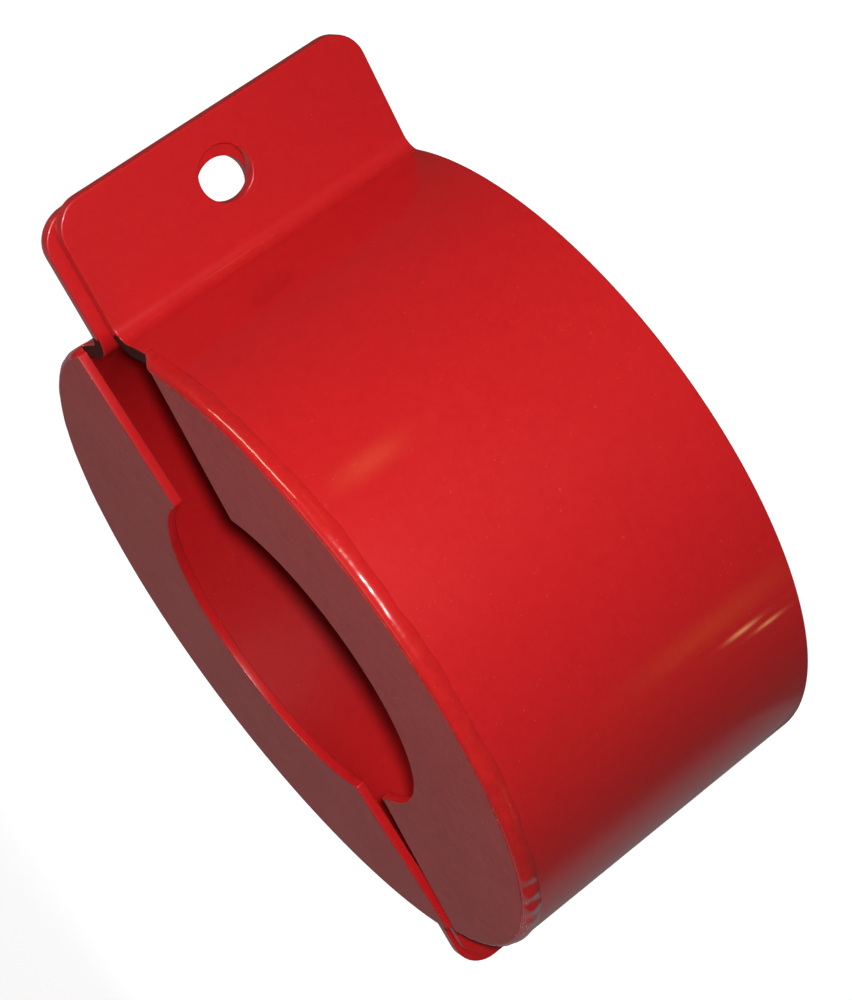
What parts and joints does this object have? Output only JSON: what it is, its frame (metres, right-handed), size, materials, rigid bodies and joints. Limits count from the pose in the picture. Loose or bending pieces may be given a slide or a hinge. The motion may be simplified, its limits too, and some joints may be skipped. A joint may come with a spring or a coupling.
{
  "type": "post driver collar",
  "caption": "Split clamp-on collar for a post driver: two rolled half shells with bolt ears and slotted half-ring end plates around a smaller post opening.",
  "frame": {"origin": "on the collar's axis, in the plane of its open rim", "axes": "+Z along the axis towards the end plates, +X towards the wide ears for the clamp bolt, +Y towards the swinging half"},
  "size_m": [0.3006, 0.23, 0.1179],
  "materials": {
    "red_enamel": "glossy red enamel",
    "plate_enamel": "glossy red enamel over saw-cut plate",
    "bead_enamel": "glossy red enamel over weld bead",
    "zinc_bolt": "zinc plated",
    "zinc_washer": "zinc plated",
    "spring_steel": "dull spring steel",
    "zinc_nut": "zinc plated"
  },
  "bodies": {
    "fixed_half": {"fixed_shell": "red_enamel", "fixed_end_plate": "plate_enamel", "fixed_weld_bead": "bead_enamel"},
    "swing_half": {"swing_shell": "red_enamel", "swing_end_plate": "plate_enamel", "swing_weld_bead": "bead_enamel"},
    "bolt": {"pivot_bolt": "zinc_bolt", "head_washer": "zinc_washer"},
    "washers": {"nut_washer": "zinc_washer", "lock_washer": "spring_steel"},
    "nut": {"hex_nut": "zinc_nut"}
  },
  "joints": [
    {"name": "half_swing", "type": "hinge", "parent": "fixed_half", "child": "swing_half", "pos_m": [-0.127, 0.00626, 0.05715], "axis": [0, -1, 0], "range_deg": [0, 110]},
    {"name": "bolt_spin", "type": "hinge", "parent": "fixed_half", "child": "bolt", "pos_m": [-0.127, 0, 0.05715], "axis": [0, -1, 0], "continuous": true},
    {"name": "washer_slide", "type": "slide", "parent": "bolt", "child": "washers", "axis": [0, 1, 0], "range_m": [0, 0.005]},
    {"name": "nut_spin", "type": "hinge", "parent": "washers", "child": "nut", "pos_m": [-0.127, 0.02, 0.05715], "axis": [0, 1, 0], "range_deg": [0, 1134.86]}
  ],
  "couplings": [
    {"joint": "nut_spin", "follows": "washer_slide", "rad_per_m": 3957.9}
  ]
}
